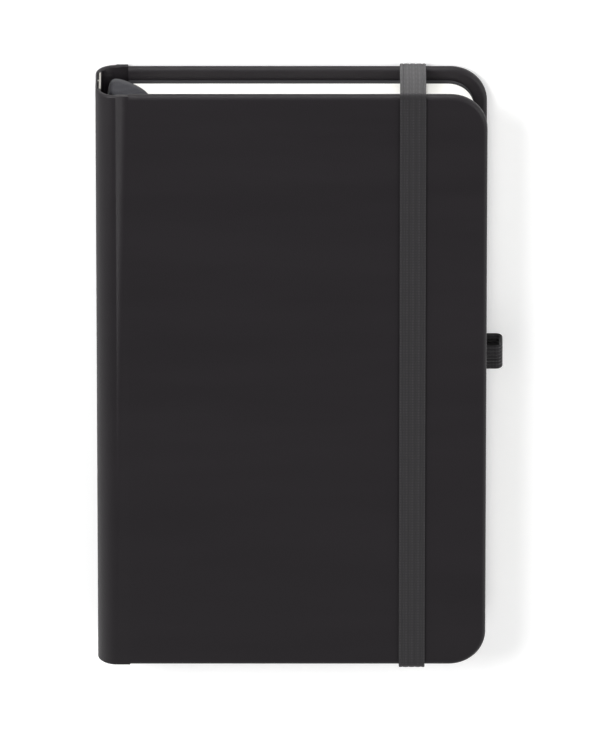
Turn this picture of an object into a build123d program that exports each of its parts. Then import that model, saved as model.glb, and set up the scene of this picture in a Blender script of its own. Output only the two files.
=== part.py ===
from build123d import *
import os

# A hard-cover pocket notebook, lying shut on its back cover.
# Millimetres. +X runs from the spine to the fore-edge, +Y to the head, +Z up to the front cover.
# The origin is the centre of the back cover's outer face.

os.makedirs("parts", exist_ok=True)

# Case
cover_width = 90.0  # spine's outer face to fore-edge
cover_height = 146.0  # tail to head
cover_corner = 8.5  # fore-edge corners, seen from above
leather = 0.45  # covering sheet, outside and turned in
board = 1.5  # grey board inside each cover
turn_in = 12.0  # width of the leather folded over onto the inside
cover_edge = 0.8  # rounding of the covered board's edges
spine_liner = 0.8  # card strip inside the spine
shoulder = 4.5  # outer radius between spine and cover
joint_width = 7.5  # spine's outer face to the boards
spine_hollow = 1.6  # between the spine's card and the gauze

# Book block
square = 3.0  # how far the covers stand out past the block
block_corner = 6.0  # fore-edge corners of the leaves
leaf = 0.105
leaves_per_section = 8
fixed_sections = 11  # sections that stay on the back cover
fold_radius = 0.35  # rounding of a section's folded back
endpaper = 0.15
pastedown = 0.2
section_gap = 0.05  # between the turned section and the flyleaf
cover_clearance = 0.27  # between the flyleaf and the front cover's lining
thread_thickness = 0.3
thread_width = 0.6
thread_stations = 6
thread_pitch = 22.0
gauze = 0.25
gauze_margin = 10.0  # the gauze is this much shorter than the block, each end

# Back pocket
pocket_depth = 0.9
pocket_card = 0.4
pocket_start = 11.5  # block's back to the pocket's mouth
pocket_inset = 1.0  # the pocket stays this far inside the block's outline
gusset_width = 5.0

# Ribbon bookmark
ribbon_width = 6.0
ribbon = 0.2
ribbon_gap = 0.3  # space between the sections where the ribbon lies
ribbon_inset = 6.8  # block's back to the middle of the ribbon
ribbon_grip = 8.0  # length inside the block that can't swing
ribbon_tail_margin = 8.0  # the tail end stops this far inside the block
ribbon_glued = 12.0  # length glued down the block's back
ribbon_clearance = 0.3

# Elastic strap
strap_width = 6.0
strap = 0.6
strap_clearance = 0.05
strap_inset = 17.1  # fore-edge to the middle of the strap
strap_corner = 1.0
strap_slit_inset = 14.0  # head or tail edge to the slit
strap_tab = 8.0  # length glued under the pastedown

# Pen loop
loop_length = 6.0
loop_centre = 2.7  # above the middle of the cover
loop_wall = 0.7
loop_inside_width = 4.8
loop_inside_depth = 5.4
loop_corner = 0.9
loop_reach = 3.8  # past the cover's fore-edge
loop_lift = 0.3  # above the back cover
loop_tab = 10.0
loop_tab_thickness = 0.6
loop_tab_gap = 0.3

# Levels and edges that follow from these sizes
spine_x = -cover_width / 2
fore_x = cover_width / 2
half_height = cover_height / 2
cover_thickness = 2 * leather + board
joint_wall = leather + spine_liner
board_start = spine_x + joint_width
board_top = leather + board

gauze_x = spine_x + joint_wall + spine_hollow
thread_x = gauze_x + gauze
block_back = thread_x + thread_thickness
block_fore = fore_x - square
block_half = half_height - square

section = leaf * leaves_per_section
pocket_floor = cover_thickness + pastedown
pocket_roof = pocket_floor + pocket_depth
pocket_top = pocket_roof + pocket_card
block_bottom = pocket_top + endpaper
ribbon_floor = block_bottom + fixed_sections * section
turned_bottom = ribbon_floor + ribbon_gap
turned_top = turned_bottom + section
flyleaf_bottom = turned_top + section_gap
flyleaf_top = flyleaf_bottom + endpaper
total = flyleaf_top + cover_clearance + pastedown + cover_thickness
middle = Plane.XY.offset(total / 2)

strap_x = fore_x - strap_inset
slit_y = half_height - strap_slit_inset
tab_length = strap_tab + strap
channel_width = strap_width + 4 * strap_clearance
channel_depth = strap + strap_clearance

loop_outside_width = loop_inside_width + 2 * loop_wall
loop_outside_depth = loop_inside_depth + 2 * loop_wall
loop_x = fore_x + loop_reach - loop_outside_width / 2
loop_z = cover_thickness + loop_lift + loop_outside_depth / 2
tab_end = loop_x - loop_outside_width / 2 - loop_tab_gap

ribbon_x = block_back + ribbon_inset
ribbon_pivot_y = block_half - ribbon_grip - ribbon_width / 2 - ribbon_clearance


def leaf_outline(left, right, half, corner):
    """Draw a sheet with square corners at the spine and round ones at the fore-edge."""
    with Locations(((left + right) / 2, 0)):
        Rectangle(right - left, 2 * half)
    fillet(vertices().group_by(Axis.X)[-1], corner)


def leaf_slab(bottom, thickness, left, right, half, corner, mode=Mode.ADD):
    """Extrude such a sheet upwards from its level."""
    with BuildSketch(Plane.XY.offset(bottom)) as outline:
        leaf_outline(left, right, half, corner)
    extrude(outline.sketch, amount=thickness, mode=mode)


def board_slab(mode=Mode.ADD):
    """The stiff board of the back cover, as a solid or as the space for it."""
    edge = fore_x - leather
    corner = cover_corner - leather
    leaf_slab(leather, board, board_start, edge, half_height - leather, corner, mode)


def window_slab(mode=Mode.ADD):
    """The inside of the back board that the turned-in leather leaves bare."""
    edge = fore_x - turn_in
    leaf_slab(board_top, leather, board_start, edge, half_height - turn_in, block_corner, mode)


def shoulder_strip():
    """The bent strip between the spine and the back board."""
    with BuildSketch(Plane.XZ) as bend:
        with BuildLine():
            outer = RadiusArc((spine_x, shoulder), (spine_x + shoulder, 0), -shoulder)
            Polyline(
                outer @ 1,
                (board_start, 0),
                (board_start, joint_wall),
                (spine_x + shoulder, joint_wall),
            )
            inner_end = (spine_x + joint_wall, shoulder)
            RadiusArc((spine_x + shoulder, joint_wall), inner_end, shoulder - joint_wall)
            Line(inner_end, outer @ 0)
        make_face()
    extrude(bend.sketch, amount=half_height, both=True)


def cover_leather():
    """Leather of the back cover: outside, edges, turn-ins and the bend to the spine."""
    leaf_slab(0, cover_thickness, board_start, fore_x, half_height, cover_corner)
    rims = edges().group_by(Axis.Z)[0] + edges().group_by(Axis.Z)[-1]
    spine_side = edges().group_by(Axis.X)[0]
    fillet([edge for edge in rims if edge not in spine_side], cover_edge)
    board_slab(Mode.SUBTRACT)
    window_slab(Mode.SUBTRACT)
    shoulder_strip()


def cover_lining():
    """Paper over the inside of the back cover and the edges of its turn-ins."""
    window_slab()
    leaf_slab(cover_thickness, pastedown, board_start, block_fore, block_half, block_corner)


def strap_space():
    """Channels, slits and tab rooms that the strap needs in the back cover."""
    slit = strap + 2 * strap_clearance
    for side in (1, -1):
        edge_y = side * (half_height + slit_y - slit / 2) / 2
        with Locations((strap_x, edge_y, channel_depth / 2)):
            Box(channel_width, strap_slit_inset + slit / 2, channel_depth, mode=Mode.SUBTRACT)
        with Locations((strap_x, side * slit_y, cover_thickness / 2)):
            Box(channel_width, slit, cover_thickness, mode=Mode.SUBTRACT)
        tab_y = side * (slit_y + slit / 2 - tab_length / 2)
        with Locations((strap_x, tab_y, board_top + leather / 2)):
            Box(channel_width, tab_length + slit, leather, mode=Mode.SUBTRACT)


def loop_tab_box(mode=Mode.ADD):
    """The flat end of the pen loop, on the turned-in leather."""
    level = cover_thickness + loop_tab_thickness / 2
    with Locations((tab_end - loop_tab / 2, loop_centre, level)):
        Box(loop_tab, loop_length, loop_tab_thickness, mode=mode)


def pages(bottom, thickness):
    """A folded section of leaves: square at the fore-edge, rounded at its fold."""
    leaf_slab(bottom, thickness, block_back, block_fore, block_half, block_corner)
    fold = edges().filter_by(Axis.Y).group_by(Axis.X)[0]
    fillet(fold, min(fold_radius, 0.45 * thickness))


# Back cover

with BuildPart() as back_leather:
    cover_leather()
    strap_space()
back_leather.part.label = "back_leather"

with BuildPart() as back_board:
    board_slab()
    strap_space()
back_board.part.label = "back_board"

with BuildPart() as back_pastedown:
    cover_lining()
    strap_space()
    loop_tab_box(Mode.SUBTRACT)
back_pastedown.part.label = "back_pastedown"

# Front cover, the mirror image of the back one without the strap's slits

with BuildPart() as front_leather:
    cover_leather()
    mirror(about=middle, mode=Mode.REPLACE)
front_leather.part.label = "front_leather"

with BuildPart() as front_board:
    board_slab()
    mirror(about=middle, mode=Mode.REPLACE)
front_board.part.label = "front_board"

with BuildPart() as front_pastedown:
    cover_lining()
    mirror(about=middle, mode=Mode.REPLACE)
front_pastedown.part.label = "front_pastedown"

# Spine

spine_height = total - 2 * shoulder

with BuildPart() as spine_leather:
    with Locations((spine_x + leather / 2, 0, total / 2)):
        Box(leather, cover_height, spine_height)
spine_leather.part.label = "spine_leather"

with BuildPart() as spine_card:
    with Locations((spine_x + leather + spine_liner / 2, 0, total / 2)):
        Box(spine_liner, cover_height, spine_height)
spine_card.part.label = "spine_card"

# Pocket on the back cover's inside, open towards the spine

pocket_mouth = block_back + pocket_start
pocket_fore = block_fore - pocket_inset
pocket_half = block_half - pocket_inset
pocket_corner = block_corner - pocket_inset

with BuildPart() as pocket_gusset:
    leaf_slab(pocket_floor, pocket_depth, pocket_mouth, pocket_fore, pocket_half, pocket_corner)
    inner_corner = max(pocket_corner - gusset_width, 0.5)
    leaf_slab(
        pocket_floor,
        pocket_depth,
        pocket_mouth,
        pocket_fore - gusset_width,
        pocket_half - gusset_width,
        inner_corner,
        Mode.SUBTRACT,
    )
    loop_tab_box(Mode.SUBTRACT)
pocket_gusset.part.label = "pocket_gusset"

with BuildPart() as pocket_panel:
    leaf_slab(pocket_roof, pocket_card, pocket_mouth, pocket_fore, pocket_half, pocket_corner)
pocket_panel.part.label = "pocket_panel"

# Book block

with BuildPart() as back_flyleaf:
    leaf_slab(pocket_top, endpaper, block_back, block_fore, block_half, block_corner)
back_flyleaf.part.label = "back_flyleaf"

sections = []
for number in range(fixed_sections):
    with BuildPart() as block_section:
        pages(block_bottom + number * section, section)
    block_section.part.label = f"section_{number + 1:02d}"
    sections.append(block_section)

with BuildPart() as turned_section:
    pages(turned_bottom, section)
turned_section.part.label = f"section_{fixed_sections + 1:02d}"
sections.append(turned_section)

with BuildPart() as front_flyleaf:
    leaf_slab(flyleaf_bottom, endpaper, block_back, block_fore, block_half, block_corner)
front_flyleaf.part.label = "front_flyleaf"

thread_height = ribbon_floor - block_bottom - section
thread_middle = (ribbon_floor + block_bottom) / 2

with BuildPart() as sewing_thread:
    with Locations((thread_x + thread_thickness / 2, 0, thread_middle)):
        with GridLocations(0, thread_pitch, 1, thread_stations):
            Box(thread_thickness, thread_width, thread_height)
sewing_thread.part.label = "sewing_thread"

with BuildPart() as spine_gauze:
    with Locations((gauze_x + gauze / 2, 0, thread_middle)):
        Box(gauze, 2 * (block_half - gauze_margin), ribbon_floor - block_bottom)
spine_gauze.part.label = "spine_gauze"

# Ribbon bookmark: glued to the block's back, over its head, down into the gap

ribbon_level = ribbon_floor + (ribbon_gap - ribbon) / 2
glued_low = thread_middle - ribbon_width / 2
glued_high = thread_middle + ribbon_width / 2
head_y = block_half + ribbon_clearance
glue_x = gauze_x - ribbon

with BuildPart() as ribbon_head:
    glue_y = head_y - ribbon_glued / 2
    with Locations((glue_x + ribbon / 2, glue_y, thread_middle)):
        Box(ribbon, ribbon_glued, ribbon_width)
    # The fold across the head of the block, from its back up to the gap
    with BuildSketch(Plane.XZ.offset(-head_y)):
        Polygon(
            (glue_x, glued_low),
            (block_back, glued_low),
            (ribbon_x + ribbon_width / 2, ribbon_level - ribbon_width / 2),
            (ribbon_x + ribbon_width / 2, ribbon_level + ribbon),
            (ribbon_x - ribbon_width / 2, ribbon_level + ribbon),
            (glue_x, glued_high),
            align=None,
        )
    extrude(amount=-ribbon)
    grip = ribbon_grip + ribbon_clearance + ribbon
    with Locations((ribbon_x, head_y + ribbon - grip / 2, ribbon_level + ribbon / 2)):
        Box(ribbon_width, grip, ribbon)
ribbon_head.part.label = "ribbon_head"

tail_length = ribbon_pivot_y + block_half - ribbon_tail_margin

with BuildPart() as ribbon_tail:
    with BuildSketch(Plane.XY.offset(ribbon_level)):
        with Locations((ribbon_x, ribbon_pivot_y)):
            Circle(ribbon_width / 2)
        with Locations((ribbon_x, ribbon_pivot_y - tail_length / 2)):
            Rectangle(ribbon_width, tail_length)
    extrude(amount=ribbon)
ribbon_tail.part.label = "ribbon_tail"

# Elastic strap, from slit to slit round the head, the front and the tail

strap_half = half_height + strap_clearance + strap
strap_top = total + strap_clearance + strap

with BuildPart() as elastic_strap:
    with BuildSketch(Plane.YZ.offset(strap_x)):
        with Locations((0, strap_top / 2)):
            RectangleRounded(2 * strap_half, strap_top, strap_corner)
        with Locations((0, strap_top / 2)):
            Rectangle(2 * (strap_half - strap), strap_top - 2 * strap, mode=Mode.SUBTRACT)
        with Locations((0, strap / 2)):
            Rectangle(2 * (slit_y - strap / 2), strap, mode=Mode.SUBTRACT)
        for side in (1, -1):
            with Locations((side * slit_y, board_top / 2)):
                Rectangle(strap, board_top)
            with Locations((side * (slit_y + strap / 2 - tab_length / 2), board_top + leather / 2)):
                Rectangle(tab_length, leather)
    extrude(amount=strap_width / 2, both=True)
elastic_strap.part.label = "elastic_strap"

# Pen loop, a flattened tube of elastic beside the fore-edge

with BuildPart() as pen_loop_tab:
    loop_tab_box()
pen_loop_tab.part.label = "pen_loop_tab"

with BuildPart() as pen_loop:
    with BuildSketch(Plane.XZ.offset(-loop_centre)):
        with Locations((loop_x, loop_z)):
            RectangleRounded(loop_outside_width, loop_outside_depth, loop_corner + loop_wall)
            RectangleRounded(
                loop_inside_width, loop_inside_depth, loop_corner, mode=Mode.SUBTRACT
            )
    extrude(amount=loop_length / 2, both=True)
pen_loop.part.label = "pen_loop"

pieces = [
    back_leather,
    back_board,
    back_pastedown,
    front_leather,
    front_board,
    front_pastedown,
    spine_leather,
    spine_card,
    pocket_gusset,
    pocket_panel,
    back_flyleaf,
    front_flyleaf,
    sewing_thread,
    spine_gauze,
    ribbon_head,
    ribbon_tail,
    elastic_strap,
    pen_loop_tab,
    pen_loop,
]
for piece in pieces + sections:
    export_step(piece.part, f"parts/{piece.part.label}.step")

print(f"{len(pieces) + len(sections)} pieces, {total:.2f} mm thick when shut")
print(f"spine joints at x {spine_x:.2f}, z {shoulder:.2f} and z {total - shoulder:.2f}")
print(f"leaves turn about x {block_back:.2f}, z {flyleaf_top:.2f}")
print(f"ribbon swings about x {ribbon_x:.2f}, y {ribbon_pivot_y:.2f}, z {ribbon_level:.2f}")
print(f"strap at x {strap_x:.2f}; pen loop at x {loop_x:.2f}, z {loop_z:.2f}")
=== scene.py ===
import math

import bmesh
import bpy
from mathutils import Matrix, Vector


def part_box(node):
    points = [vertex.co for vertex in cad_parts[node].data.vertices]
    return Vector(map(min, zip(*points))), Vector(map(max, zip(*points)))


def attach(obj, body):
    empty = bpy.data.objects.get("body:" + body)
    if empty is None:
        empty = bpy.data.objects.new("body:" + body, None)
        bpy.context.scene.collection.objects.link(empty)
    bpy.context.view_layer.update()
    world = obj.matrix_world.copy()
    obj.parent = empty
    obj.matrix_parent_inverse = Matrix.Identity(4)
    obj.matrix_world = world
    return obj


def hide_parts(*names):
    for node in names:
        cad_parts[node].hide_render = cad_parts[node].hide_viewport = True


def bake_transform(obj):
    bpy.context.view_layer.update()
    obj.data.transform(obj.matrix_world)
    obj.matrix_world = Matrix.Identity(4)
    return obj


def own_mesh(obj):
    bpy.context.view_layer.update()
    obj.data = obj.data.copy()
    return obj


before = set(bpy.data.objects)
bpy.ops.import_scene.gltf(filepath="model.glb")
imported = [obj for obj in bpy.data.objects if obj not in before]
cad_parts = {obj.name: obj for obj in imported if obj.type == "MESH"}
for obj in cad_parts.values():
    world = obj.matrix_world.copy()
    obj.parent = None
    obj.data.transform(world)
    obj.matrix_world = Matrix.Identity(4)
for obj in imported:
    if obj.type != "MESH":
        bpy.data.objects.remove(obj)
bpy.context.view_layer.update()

MM = 0.001


def low(node):
    return Vector(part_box(node)[0])


def high(node):
    return Vector(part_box(node)[1])


# Sizes read from the frame, in metres
FORE_X = high("front_leather").x
SPINE_X = low("spine_leather").x
HALF_Y = high("front_leather").y
TOP = high("front_leather").z
COVER = low("back_board").z + high("back_board").z  # as much leather over the board as under it
SHOULDER = low("spine_leather").z
SPINE_WALL = high("spine_card").x - SPINE_X
BOARD_X = low("front_board").x

# Sizes of the visible finish
CORNER = 8.5 * MM  # the covers' fore-edge corners
EDGE_ROUND = 1.05 * MM  # along the covered boards' edges
LIP_ROUND = 0.45 * MM  # along the ends of the spine and its shoulders
SEAM_LAP = 0.15 * MM  # each half of the skin passes the spine's middle by this much
SLIT_INSET = 14 * MM  # head or tail edge to the strap's slit
GROOVE = 0.14 * MM  # depth between the ribs of the elastic
LEAF = 0.105 * MM
STRAP_RIBS = (0.7, 1.2, 1.2, 1.2, 0.7)  # widths, as shares
LOOP_RIBS = (1,) * 7


# ---------- Materials ----------


def socket(tree, name, kind, way, value=None):
    """Add a named input or output to a node group."""
    item = tree.interface.new_socket(name=name, in_out=way, socket_type=kind)
    if value is not None:
        item.default_value = value


def grain_group():
    """Fine cells with a few stretched creases: a height, and a mask for colour and gloss."""
    tree = bpy.data.node_groups.new("sheet_grain", "ShaderNodeTree")
    socket(tree, "Cell Scale", "NodeSocketFloat", "INPUT", 2200.0)
    socket(tree, "Crease Scale", "NodeSocketFloat", "INPUT", 60.0)
    socket(tree, "Crease Share", "NodeSocketFloat", "INPUT", 0.3)
    socket(tree, "Height", "NodeSocketFloat", "OUTPUT")
    socket(tree, "Mask", "NodeSocketFloat", "OUTPUT")
    nodes, links = tree.nodes, tree.links
    given = nodes.new("NodeGroupInput")
    out = nodes.new("NodeGroupOutput")
    place = nodes.new("ShaderNodeTexCoord")
    cells = nodes.new("ShaderNodeTexVoronoi")
    cells.feature = "SMOOTH_F1"
    links.new(place.outputs["Object"], cells.inputs["Vector"])
    links.new(given.outputs["Cell Scale"], cells.inputs["Scale"])
    turn = nodes.new("ShaderNodeMapping")
    turn.inputs["Rotation"].default_value = (0, 0, math.radians(35))
    turn.inputs["Scale"].default_value = (0.35, 2.2, 1)
    links.new(place.outputs["Object"], turn.inputs["Vector"])
    crease = nodes.new("ShaderNodeTexNoise")
    crease.inputs["Detail"].default_value = 3
    links.new(turn.outputs["Vector"], crease.inputs["Vector"])
    links.new(given.outputs["Crease Scale"], crease.inputs["Scale"])
    mix = nodes.new("ShaderNodeMix")
    links.new(given.outputs["Crease Share"], mix.inputs["Factor"])
    links.new(cells.outputs["Distance"], mix.inputs["A"])
    links.new(crease.outputs["Fac"], mix.inputs["B"])
    links.new(mix.outputs["Result"], out.inputs["Height"])
    links.new(crease.outputs["Fac"], out.inputs["Mask"])
    return tree


def shader(name, colour, roughness, sheen=0.0, specular=0.5):
    """A principled material and its nodes, with the colour still plain."""
    material = bpy.data.materials.new(name)
    material.use_nodes = True
    tree = material.node_tree
    skin = tree.nodes["Principled BSDF"]
    skin.inputs["Base Color"].default_value = (*colour, 1)
    skin.inputs["Roughness"].default_value = roughness
    skin.inputs["Specular IOR Level"].default_value = specular
    skin.inputs["Sheen Weight"].default_value = sheen
    return material, tree, skin


def two_tone(tree, skin, mask, dark, light):
    """Vary the colour between two tones by a mask."""
    mix = tree.nodes.new("ShaderNodeMix")
    mix.data_type = "RGBA"
    mix.inputs["A"].default_value = (*dark, 1)
    mix.inputs["B"].default_value = (*light, 1)
    tree.links.new(mask, mix.inputs["Factor"])
    tree.links.new(mix.outputs["Result"], skin.inputs["Base Color"])


def span(tree, value, low_value, high_value, goal):
    """Feed a socket from a 0 to 1 value, stretched to the given range."""
    ramp = tree.nodes.new("ShaderNodeMapRange")
    ramp.inputs["To Min"].default_value = low_value
    ramp.inputs["To Max"].default_value = high_value
    tree.links.new(value, ramp.inputs["Value"])
    tree.links.new(ramp.outputs["Result"], goal)


def bump(tree, skin, height, distance, strength=1.0):
    """Raise the surface by a height, over a real distance."""
    node = tree.nodes.new("ShaderNodeBump")
    node.inputs["Strength"].default_value = strength
    node.inputs["Distance"].default_value = distance
    tree.links.new(height, node.inputs["Height"])
    tree.links.new(node.outputs["Normal"], skin.inputs["Normal"])


GRAIN = grain_group()


def grained(name, dark, light, rough, cell, crease, share, depth, specular=0.5):
    """A sheet material with grain: leather, board or paper."""
    material, tree, skin = shader(name, dark, rough, specular=specular)
    effect = tree.nodes.new("ShaderNodeGroup")
    effect.node_tree = GRAIN
    effect.inputs["Cell Scale"].default_value = cell
    effect.inputs["Crease Scale"].default_value = crease
    effect.inputs["Crease Share"].default_value = share
    two_tone(tree, skin, effect.outputs["Mask"], dark, light)
    uneven = 0.06
    span(tree, effect.outputs["Mask"], rough - uneven, rough + uneven, skin.inputs["Roughness"])
    bump(tree, skin, effect.outputs["Height"], depth)
    return material


def page_material():
    """Ivory paper whose cut edges show the leaves as fine lines."""
    material, tree, skin = shader("ivory_pages", (0.86, 0.85, 0.81), 0.75, specular=0.25)
    place = tree.nodes.new("ShaderNodeTexCoord")
    lines = tree.nodes.new("ShaderNodeTexWave")
    lines.wave_type = "BANDS"
    lines.bands_direction = "Z"
    lines.inputs["Scale"].default_value = 1 / LEAF / math.tau
    lines.inputs["Distortion"].default_value = 0.6
    lines.inputs["Detail"].default_value = 1
    tree.links.new(place.outputs["Object"], lines.inputs["Vector"])
    two_tone(tree, skin, lines.outputs["Fac"], (0.8, 0.79, 0.75), (0.92, 0.91, 0.88))
    bump(tree, skin, lines.outputs["Fac"], 0.02 * MM, 0.5)
    return material


def woven_material(name, dark, light, pitch, rough=0.8, sheen=0.3):
    """Close cross-woven threads, as on elastic, ribbon and cloth."""
    material, tree, skin = shader(name, dark, rough, sheen=sheen, specular=0.3)
    place = tree.nodes.new("ShaderNodeTexCoord")
    height = None
    for way in ("X", "Y", "Z"):
        wave = tree.nodes.new("ShaderNodeTexWave")
        wave.bands_direction = way
        wave.inputs["Scale"].default_value = 1 / pitch / math.tau
        wave.inputs["Distortion"].default_value = 0.8
        tree.links.new(place.outputs["Object"], wave.inputs["Vector"])
        if height is None:
            height = wave.outputs["Fac"]
            continue
        both = tree.nodes.new("ShaderNodeMath")
        both.operation = "MULTIPLY"
        tree.links.new(height, both.inputs[0])
        tree.links.new(wave.outputs["Fac"], both.inputs[1])
        height = both.outputs["Value"]
    two_tone(tree, skin, height, dark, light)
    bump(tree, skin, height, 0.08 * MM, 0.7)
    return material


LEATHER = grained(
    "black_leather", dark=(0.0078, 0.0062, 0.0078), light=(0.0112, 0.009, 0.0112),
    rough=0.46, cell=2600, crease=45, share=0.25, depth=0.03 * MM, specular=0.3,
)
BOARD = grained(
    "grey_board", dark=(0.3, 0.29, 0.27), light=(0.36, 0.35, 0.33),
    rough=0.9, cell=900, crease=300, share=0.5, depth=0.03 * MM,
)
LINING = grained(
    "charcoal_paper", dark=(0.05, 0.05, 0.054), light=(0.062, 0.062, 0.066),
    rough=0.8, cell=1500, crease=400, share=0.4, depth=0.01 * MM,
)
PAGES = page_material()
ELASTIC = woven_material(
    "black_elastic", dark=(0.01, 0.009, 0.0105), light=(0.034, 0.03, 0.035), pitch=0.35 * MM
)
RIBBON = woven_material(
    "satin_ribbon", dark=(0.011, 0.011, 0.016), light=(0.026, 0.026, 0.034),
    pitch=0.2 * MM, rough=0.55, sheen=0.1,
)
CLOTH = woven_material(
    "book_cloth", dark=(0.03, 0.03, 0.033), light=(0.06, 0.06, 0.066), pitch=0.3 * MM
)
GAUZE = woven_material(
    "cotton_gauze", dark=(0.45, 0.42, 0.36), light=(0.75, 0.72, 0.65), pitch=0.9 * MM
)
THREAD = woven_material(
    "linen_thread", dark=(0.6, 0.57, 0.5), light=(0.85, 0.82, 0.75), pitch=0.2 * MM
)


# ---------- Mesh helpers ----------


def piece(bm, name, material, body=None, angle=35):
    """Turn a bmesh into an object at the origin, with smooth faces and sharp edges kept."""
    mesh = bpy.data.meshes.new(name)
    bm.to_mesh(mesh)
    bm.free()
    thing = bpy.data.objects.new(name, mesh)
    bpy.context.collection.objects.link(thing)
    mesh.materials.append(material)
    for face in mesh.polygons:
        face.use_smooth = True
    mesh.set_sharp_from_angle(angle=math.radians(angle))
    if body:
        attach(thing, body)
    return thing


def run(bm, edges, offset):
    """Extrude a chain of edges in a straight line and give the new chain."""
    made = bmesh.ops.extrude_edge_only(bm, edges=edges)["geom"]
    moved = [v for v in made if isinstance(v, bmesh.types.BMVert)]
    bmesh.ops.translate(bm, verts=moved, vec=offset)
    return [e for e in made if isinstance(e, bmesh.types.BMEdge) and all(v in moved for v in e.verts)]


def turn(bm, edges, centre, axis, degrees, steps):
    """Sweep a chain of edges round an axis and give the last chain."""
    points = list({v for e in edges for v in e.verts})
    made = bmesh.ops.spin(
        bm, geom=points + edges, cent=centre, axis=axis,
        angle=math.radians(degrees), steps=steps, use_merge=False,
    )["geom_last"]
    return [e for e in made if isinstance(e, bmesh.types.BMEdge)]


def close_up(bm):
    """Merge doubled vertices and point the faces one way."""
    bmesh.ops.remove_doubles(bm, verts=bm.verts[:], dist=1e-6)
    bmesh.ops.recalc_face_normals(bm, faces=bm.faces[:])


def thicken(bm, thickness):
    """Give an open sheet its wall, on the side away from its normals."""
    bmesh.ops.solidify(bm, geom=bm.faces[:], thickness=thickness)


# ---------- Case ----------


def cover_slab(bm, low_z):
    """The covered board: round fore-edge corners and softly rounded edges."""
    corners = [(BOARD_X, -HALF_Y), (FORE_X, -HALF_Y), (FORE_X, HALF_Y), (BOARD_X, HALF_Y)]
    verts = [bm.verts.new((x, y, low_z)) for x, y in corners]
    face = bm.faces.new(verts)
    bmesh.ops.bevel(
        bm, geom=verts[1:3], offset=CORNER, offset_type="OFFSET", affect="VERTICES",
        segments=14, profile=0.5, material=-1,
    )
    face = max(bm.faces, key=lambda f: f.calc_area())
    made = bmesh.ops.extrude_face_region(bm, geom=[face])["geom"]
    lifted = [v for v in made if isinstance(v, bmesh.types.BMVert)]
    bmesh.ops.translate(bm, verts=lifted, vec=(0, 0, COVER))
    bmesh.ops.recalc_face_normals(bm, faces=bm.faces[:])
    rims = [
        e for e in bm.edges
        if abs(e.verts[0].co.z - e.verts[1].co.z) < 1e-7
        and max(v.co.x for v in e.verts) > BOARD_X + 1e-6
    ]
    bmesh.ops.bevel(
        bm, geom=rims, offset=EDGE_ROUND, affect="EDGES", segments=5, profile=0.5, material=-1
    )


def case_half(name, front):
    """One cover with its joint, its shoulder and half of the spine, as one leather skin."""
    bm = bmesh.new()
    cover_slab(bm, 0)
    bend = bmesh.new()
    start = Vector((SPINE_X, 0, TOP / 2 + SEAM_LAP))
    ends = [bend.verts.new(start + Vector((0, side * HALF_Y, 0))) for side in (-1, 1)]
    chain = [bend.edges.new(ends)]
    for _ in range(4):
        chain = run(bend, chain, (0, 0, (SHOULDER - start.z) / 4))
    chain = turn(bend, chain, (SPINE_X + SHOULDER, 0, SHOULDER), (0, -1, 0), 90, 12)
    run(bend, chain, (BOARD_X - SPINE_X - SHOULDER, 0, 0))
    close_up(bend)
    bend.faces.ensure_lookup_table()
    if bend.faces[0].normal.x <= 0:
        bmesh.ops.reverse_faces(bend, faces=bend.faces[:])
    bmesh.ops.solidify(bend, geom=bend.faces[:], thickness=-SPINE_WALL)
    close_up(bend)
    lips = [
        e for e in bend.edges
        if all(abs(abs(v.co.y) - HALF_Y) < 1e-6 for v in e.verts)
        and e.calc_face_angle(0) > math.radians(60)
        and e.verts[0].co.x < BOARD_X - 1e-6
    ]
    bmesh.ops.bevel(
        bend, geom=lips, offset=LIP_ROUND, affect="EDGES", segments=3, profile=0.5, material=-1
    )
    wall = bpy.data.meshes.new("wall")
    bend.to_mesh(wall)
    bend.free()
    bm.from_mesh(wall)
    if front:
        bmesh.ops.scale(bm, verts=bm.verts[:], vec=(1, 1, -1))
        bmesh.ops.translate(bm, verts=bm.verts[:], vec=(0, 0, TOP))
    bmesh.ops.recalc_face_normals(bm, faces=bm.faces[:])
    return piece(bm, name, LEATHER)


front_case = case_half("front_cover_leather", True)
back_case = case_half("back_cover_leather", False)
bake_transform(front_case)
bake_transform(back_case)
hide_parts("front_leather", "spine_leather")
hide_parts("back_leather")


# ---------- Elastic ----------


def band_chain(bm, start, across, out, width, ribs):
    """A chain of edges across a ribbed band: low grooves between rounded ribs."""
    across, out = Vector(across), Vector(out)
    points = []
    share = width / sum(ribs)
    place = -width / 2
    for rib in ribs:
        step = rib * share
        for part, lift in ((0.0, 0.0), (0.16, 0.85), (0.5, 1.0), (0.84, 0.85)):
            points.append((place + part * step, lift * GROOVE))
        place += step
    points.append((width / 2, 0.0))
    verts = [bm.verts.new(Vector(start) + across * a + out * b) for a, b in points]
    return [bm.edges.new(pair) for pair in zip(verts, verts[1:])]


STRAP_LOW, STRAP_HIGH = low("elastic_strap"), high("elastic_strap")
STRAP_X = (STRAP_LOW.x + STRAP_HIGH.x) / 2
STRAP_THICK = 0.45 * MM
LOOP_THICK = 0.5 * MM


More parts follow.
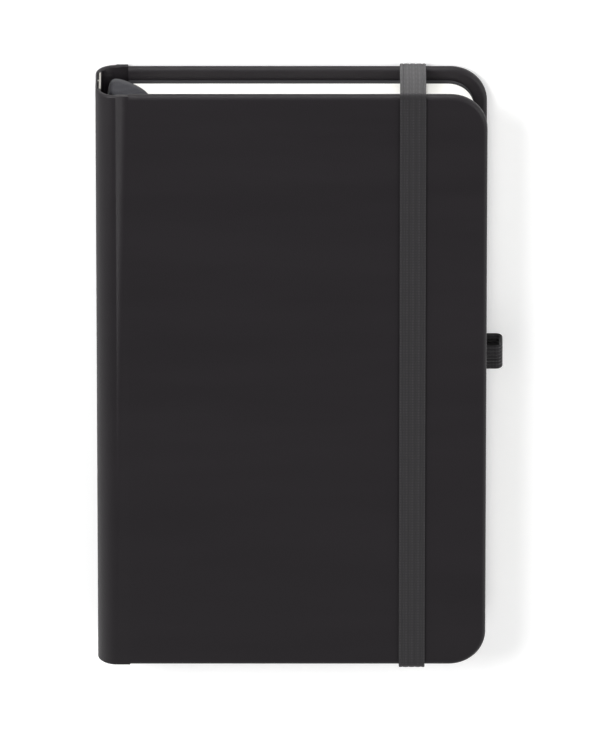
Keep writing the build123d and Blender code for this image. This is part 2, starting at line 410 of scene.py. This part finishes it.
def strap():
    """The strap from its slit round the tail, the front and the head to the other slit."""
    bm = bmesh.new()
    radius = 1.1 * MM
    half = STRAP_HIGH.y - GROOVE
    top = STRAP_HIGH.z - GROOVE
    bottom = GROOVE * 0.3
    slit = HALF_Y - SLIT_INSET
    width = STRAP_HIGH.x - STRAP_LOW.x
    chain = band_chain(bm, (STRAP_X, -slit, bottom), (1, 0, 0), (0, 0, -1), width, STRAP_RIBS)
    chain = run(bm, chain, (0, slit + radius - half, 0))
    chain = turn(bm, chain, (0, radius - half, bottom + radius), (1, 0, 0), -90, 6)
    chain = run(bm, chain, (0, 0, top - bottom - 2 * radius))
    chain = turn(bm, chain, (0, radius - half, top - radius), (1, 0, 0), -90, 6)
    chain = run(bm, chain, (0, 2 * (half - radius), 0))
    chain = turn(bm, chain, (0, half - radius, top - radius), (1, 0, 0), -90, 6)
    chain = run(bm, chain, (0, 0, bottom + 2 * radius - top))
    chain = turn(bm, chain, (0, half - radius, bottom + radius), (1, 0, 0), -90, 6)
    run(bm, chain, (0, slit + radius - half, 0))
    close_up(bm)
    if max(bm.faces, key=lambda f: f.calc_center_median().z).normal.z < 0:
        bmesh.ops.reverse_faces(bm, faces=bm.faces[:])
    thicken(bm, STRAP_THICK)
    return piece(bm, "strap_band", ELASTIC, "elastic_strap", 60)


strap_band = strap()
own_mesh(strap_band)
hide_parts("elastic_strap")


def loop():
    """The pen loop: the same elastic wound round a flattened opening."""
    lowest, highest = low("pen_loop"), high("pen_loop")
    radius = 1.5 * MM
    left, right = lowest.x + GROOVE, highest.x - GROOVE
    bottom, top = lowest.z + GROOVE, highest.z - GROOVE
    middle = (lowest.y + highest.y) / 2
    width = highest.y - lowest.y
    bm = bmesh.new()
    start = (left + radius, middle, top)
    chain = band_chain(bm, start, (0, 1, 0), (0, 0, 1), width, LOOP_RIBS)
    chain = run(bm, chain, (right - left - 2 * radius, 0, 0))
    chain = turn(bm, chain, (right - radius, 0, top - radius), (0, 1, 0), 90, 6)
    chain = run(bm, chain, (0, 0, bottom - top + 2 * radius))
    chain = turn(bm, chain, (right - radius, 0, bottom + radius), (0, 1, 0), 90, 6)
    chain = run(bm, chain, (left - right + 2 * radius, 0, 0))
    chain = turn(bm, chain, (left + radius, 0, bottom + radius), (0, 1, 0), 90, 6)
    chain = run(bm, chain, (0, 0, top - bottom - 2 * radius))
    turn(bm, chain, (left + radius, 0, top - radius), (0, 1, 0), 90, 6)
    close_up(bm)
    if max(bm.faces, key=lambda f: f.calc_center_median().z).normal.z < 0:
        bmesh.ops.reverse_faces(bm, faces=bm.faces[:])
    thicken(bm, LOOP_THICK)
    return piece(bm, "pen_loop_band", ELASTIC, "pen_loop", 60)


pen_band = loop()
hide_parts("pen_loop")


# ---------- Ribbon ----------


def ribbon():
    """The ribbon from the block's back, over its head, and down between the sections."""
    head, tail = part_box("ribbon_head"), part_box("ribbon_tail")
    level = (tail[0][2] + tail[1][2]) / 2
    centre = (tail[0][0] + tail[1][0]) / 2
    half = (tail[1][0] - tail[0][0]) / 2
    back = head[0][0]
    rise = head[1][1]
    mid = (head[0][2] + head[1][2]) / 2 - 1.5 * MM
    rows = [
        ((back, rise - 12 * MM, mid - half), (back, rise - 12 * MM, mid + half)),
        ((back, rise - 3 * MM, mid - half), (back, rise - 3 * MM, mid + half)),
        ((back + 0.6 * MM, rise + 1.4 * MM, mid - half), (back + 0.6 * MM, rise + 0.6 * MM, mid + half)),
        ((back + 3.2 * MM, rise + 1.6 * MM, mid - half + 0.6 * MM),
         (back + 1.2 * MM, rise + 0.4 * MM, mid + half + 1.2 * MM)),
        ((centre + half - 2.0 * MM, rise + 0.5 * MM, level - 4.6 * MM),
         (centre - half, rise + 0.3 * MM, level - 1.0 * MM)),
        ((centre + half, rise - 0.6 * MM, level - 1.2 * MM), (centre - half, rise - 0.8 * MM, level)),
        ((centre + half, rise - 4 * MM, level), (centre - half, rise - 4 * MM, level)),
    ]
    end = tail[0][1]
    count = 14
    start = rise - 4 * MM
    for step in range(1, count + 1):
        y = start + (end - start) * step / count
        rows.append(((centre + half, y, level), (centre - half, y, level)))
    bm = bmesh.new()
    chain = [bm.edges.new([bm.verts.new(p) for p in rows[0]])]
    for row in rows[1:]:
        chain = run(bm, chain, (0, 0, 0))
        for corner, place in zip(chain[0].verts, row):
            corner.co = place
    bmesh.ops.recalc_face_normals(bm, faces=bm.faces[:])
    band = piece(bm, "ribbon_marker", RIBBON)
    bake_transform(band)
    smooth = band.modifiers.new("soft", "SUBSURF")
    smooth.levels = smooth.render_levels = 2
    wall = band.modifiers.new("wall", "SOLIDIFY")
    wall.thickness = 0.15 * MM
    wall.offset = 0
    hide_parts("ribbon_head", "ribbon_tail")


ribbon()


# ---------- Construction that shows as it is ----------


def finish_nodes():
    """Give each carried-over node its finish."""
    finishes = {
        "back_board": BOARD, "front_board": BOARD, "spine_card": BOARD,
        "back_pastedown": LINING, "front_pastedown": LINING, "back_flyleaf": LINING,
        "front_flyleaf": LINING, "pocket_panel": LINING, "pocket_gusset": CLOTH,
        "spine_gauze": GAUZE, "sewing_thread": THREAD, "pen_loop_tab": ELASTIC,
    }
    for name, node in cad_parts.items():
        material = PAGES if name.startswith("section") else finishes.get(name)
        if material:
            node.data.materials.clear()
            node.data.materials.append(material)


finish_nodes()


# ---------- Camera, floor and light ----------

TILT = math.radians(26)
DISTANCE = 4.5
VIEW_HEIGHT = 173.05 * MM
aim = Vector((1.73 * MM, 2.06 * MM, TOP))
lens = bpy.data.cameras.new("camera")
camera = bpy.data.objects.new("camera", lens)
bpy.context.collection.objects.link(camera)
lens.sensor_width = 36
lens.lens = 36 * DISTANCE / VIEW_HEIGHT
lens.clip_end = 50
camera.location = aim + DISTANCE * Vector((0, math.sin(TILT), math.cos(TILT)))
camera.rotation_euler = (-TILT, 0, 0)
bpy.context.scene.camera = camera


def floor():
    """A wide plain floor, just under the strap's released place."""
    bm = bmesh.new()
    bmesh.ops.create_grid(bm, x_segments=1, y_segments=1, size=3)
    bmesh.ops.translate(bm, verts=bm.verts[:], vec=(0, 0, -0.7 * MM))
    mesh = bpy.data.meshes.new("floor")
    bm.to_mesh(mesh)
    bm.free()
    ground = bpy.data.objects.new("floor", mesh)
    bpy.context.collection.objects.link(ground)
    material, tree, skin = shader("pale_floor", (0.93, 0.93, 0.93), 0.9, specular=0.1)
    # Seen by the camera, the floor is lifted to white and still keeps the shadow
    seen = tree.nodes.new("ShaderNodeLightPath")
    glow = tree.nodes.new("ShaderNodeMath")
    glow.operation = "MULTIPLY"
    glow.inputs[1].default_value = 0.22
    tree.links.new(seen.outputs["Is Camera Ray"], glow.inputs[0])
    skin.inputs["Emission Color"].default_value = (1, 1, 1, 1)
    tree.links.new(glow.outputs["Value"], skin.inputs["Emission Strength"])
    mesh.materials.append(material)


def area_light(name, place, size, power):
    """A round soft lamp that points at the notebook."""
    light = bpy.data.lights.new(name, "AREA")
    light.shape = "DISK"
    light.size = size
    light.energy = power
    lamp = bpy.data.objects.new(name, light)
    bpy.context.collection.objects.link(lamp)
    lamp.location = place
    lamp.rotation_euler = (-Vector(place)).to_track_quat("-Z", "Y").to_euler()


floor()
area_light("key", (-1.1, 0.9, 1.5), 1.0, 28)
area_light("fill", (1.4, 0.3, 1.2), 1.2, 10)
area_light("head_side", (-0.2, 2.2, 0.4), 0.5, 14)
world = bpy.data.worlds.new("room")
bpy.context.scene.world = world
world.use_nodes = True
sky = world.node_tree
direction = sky.nodes.new("ShaderNodeTexCoord")
parts = sky.nodes.new("ShaderNodeSeparateXYZ")
sky.links.new(direction.outputs["Generated"], parts.inputs["Vector"])
span(sky, parts.outputs["Z"], 1.25, 0.2, sky.nodes["Background"].inputs["Strength"])
sky.nodes["Background"].inputs["Color"].default_value = (1, 1, 1, 1)
bpy.context.scene.view_settings.view_transform = "Standard"
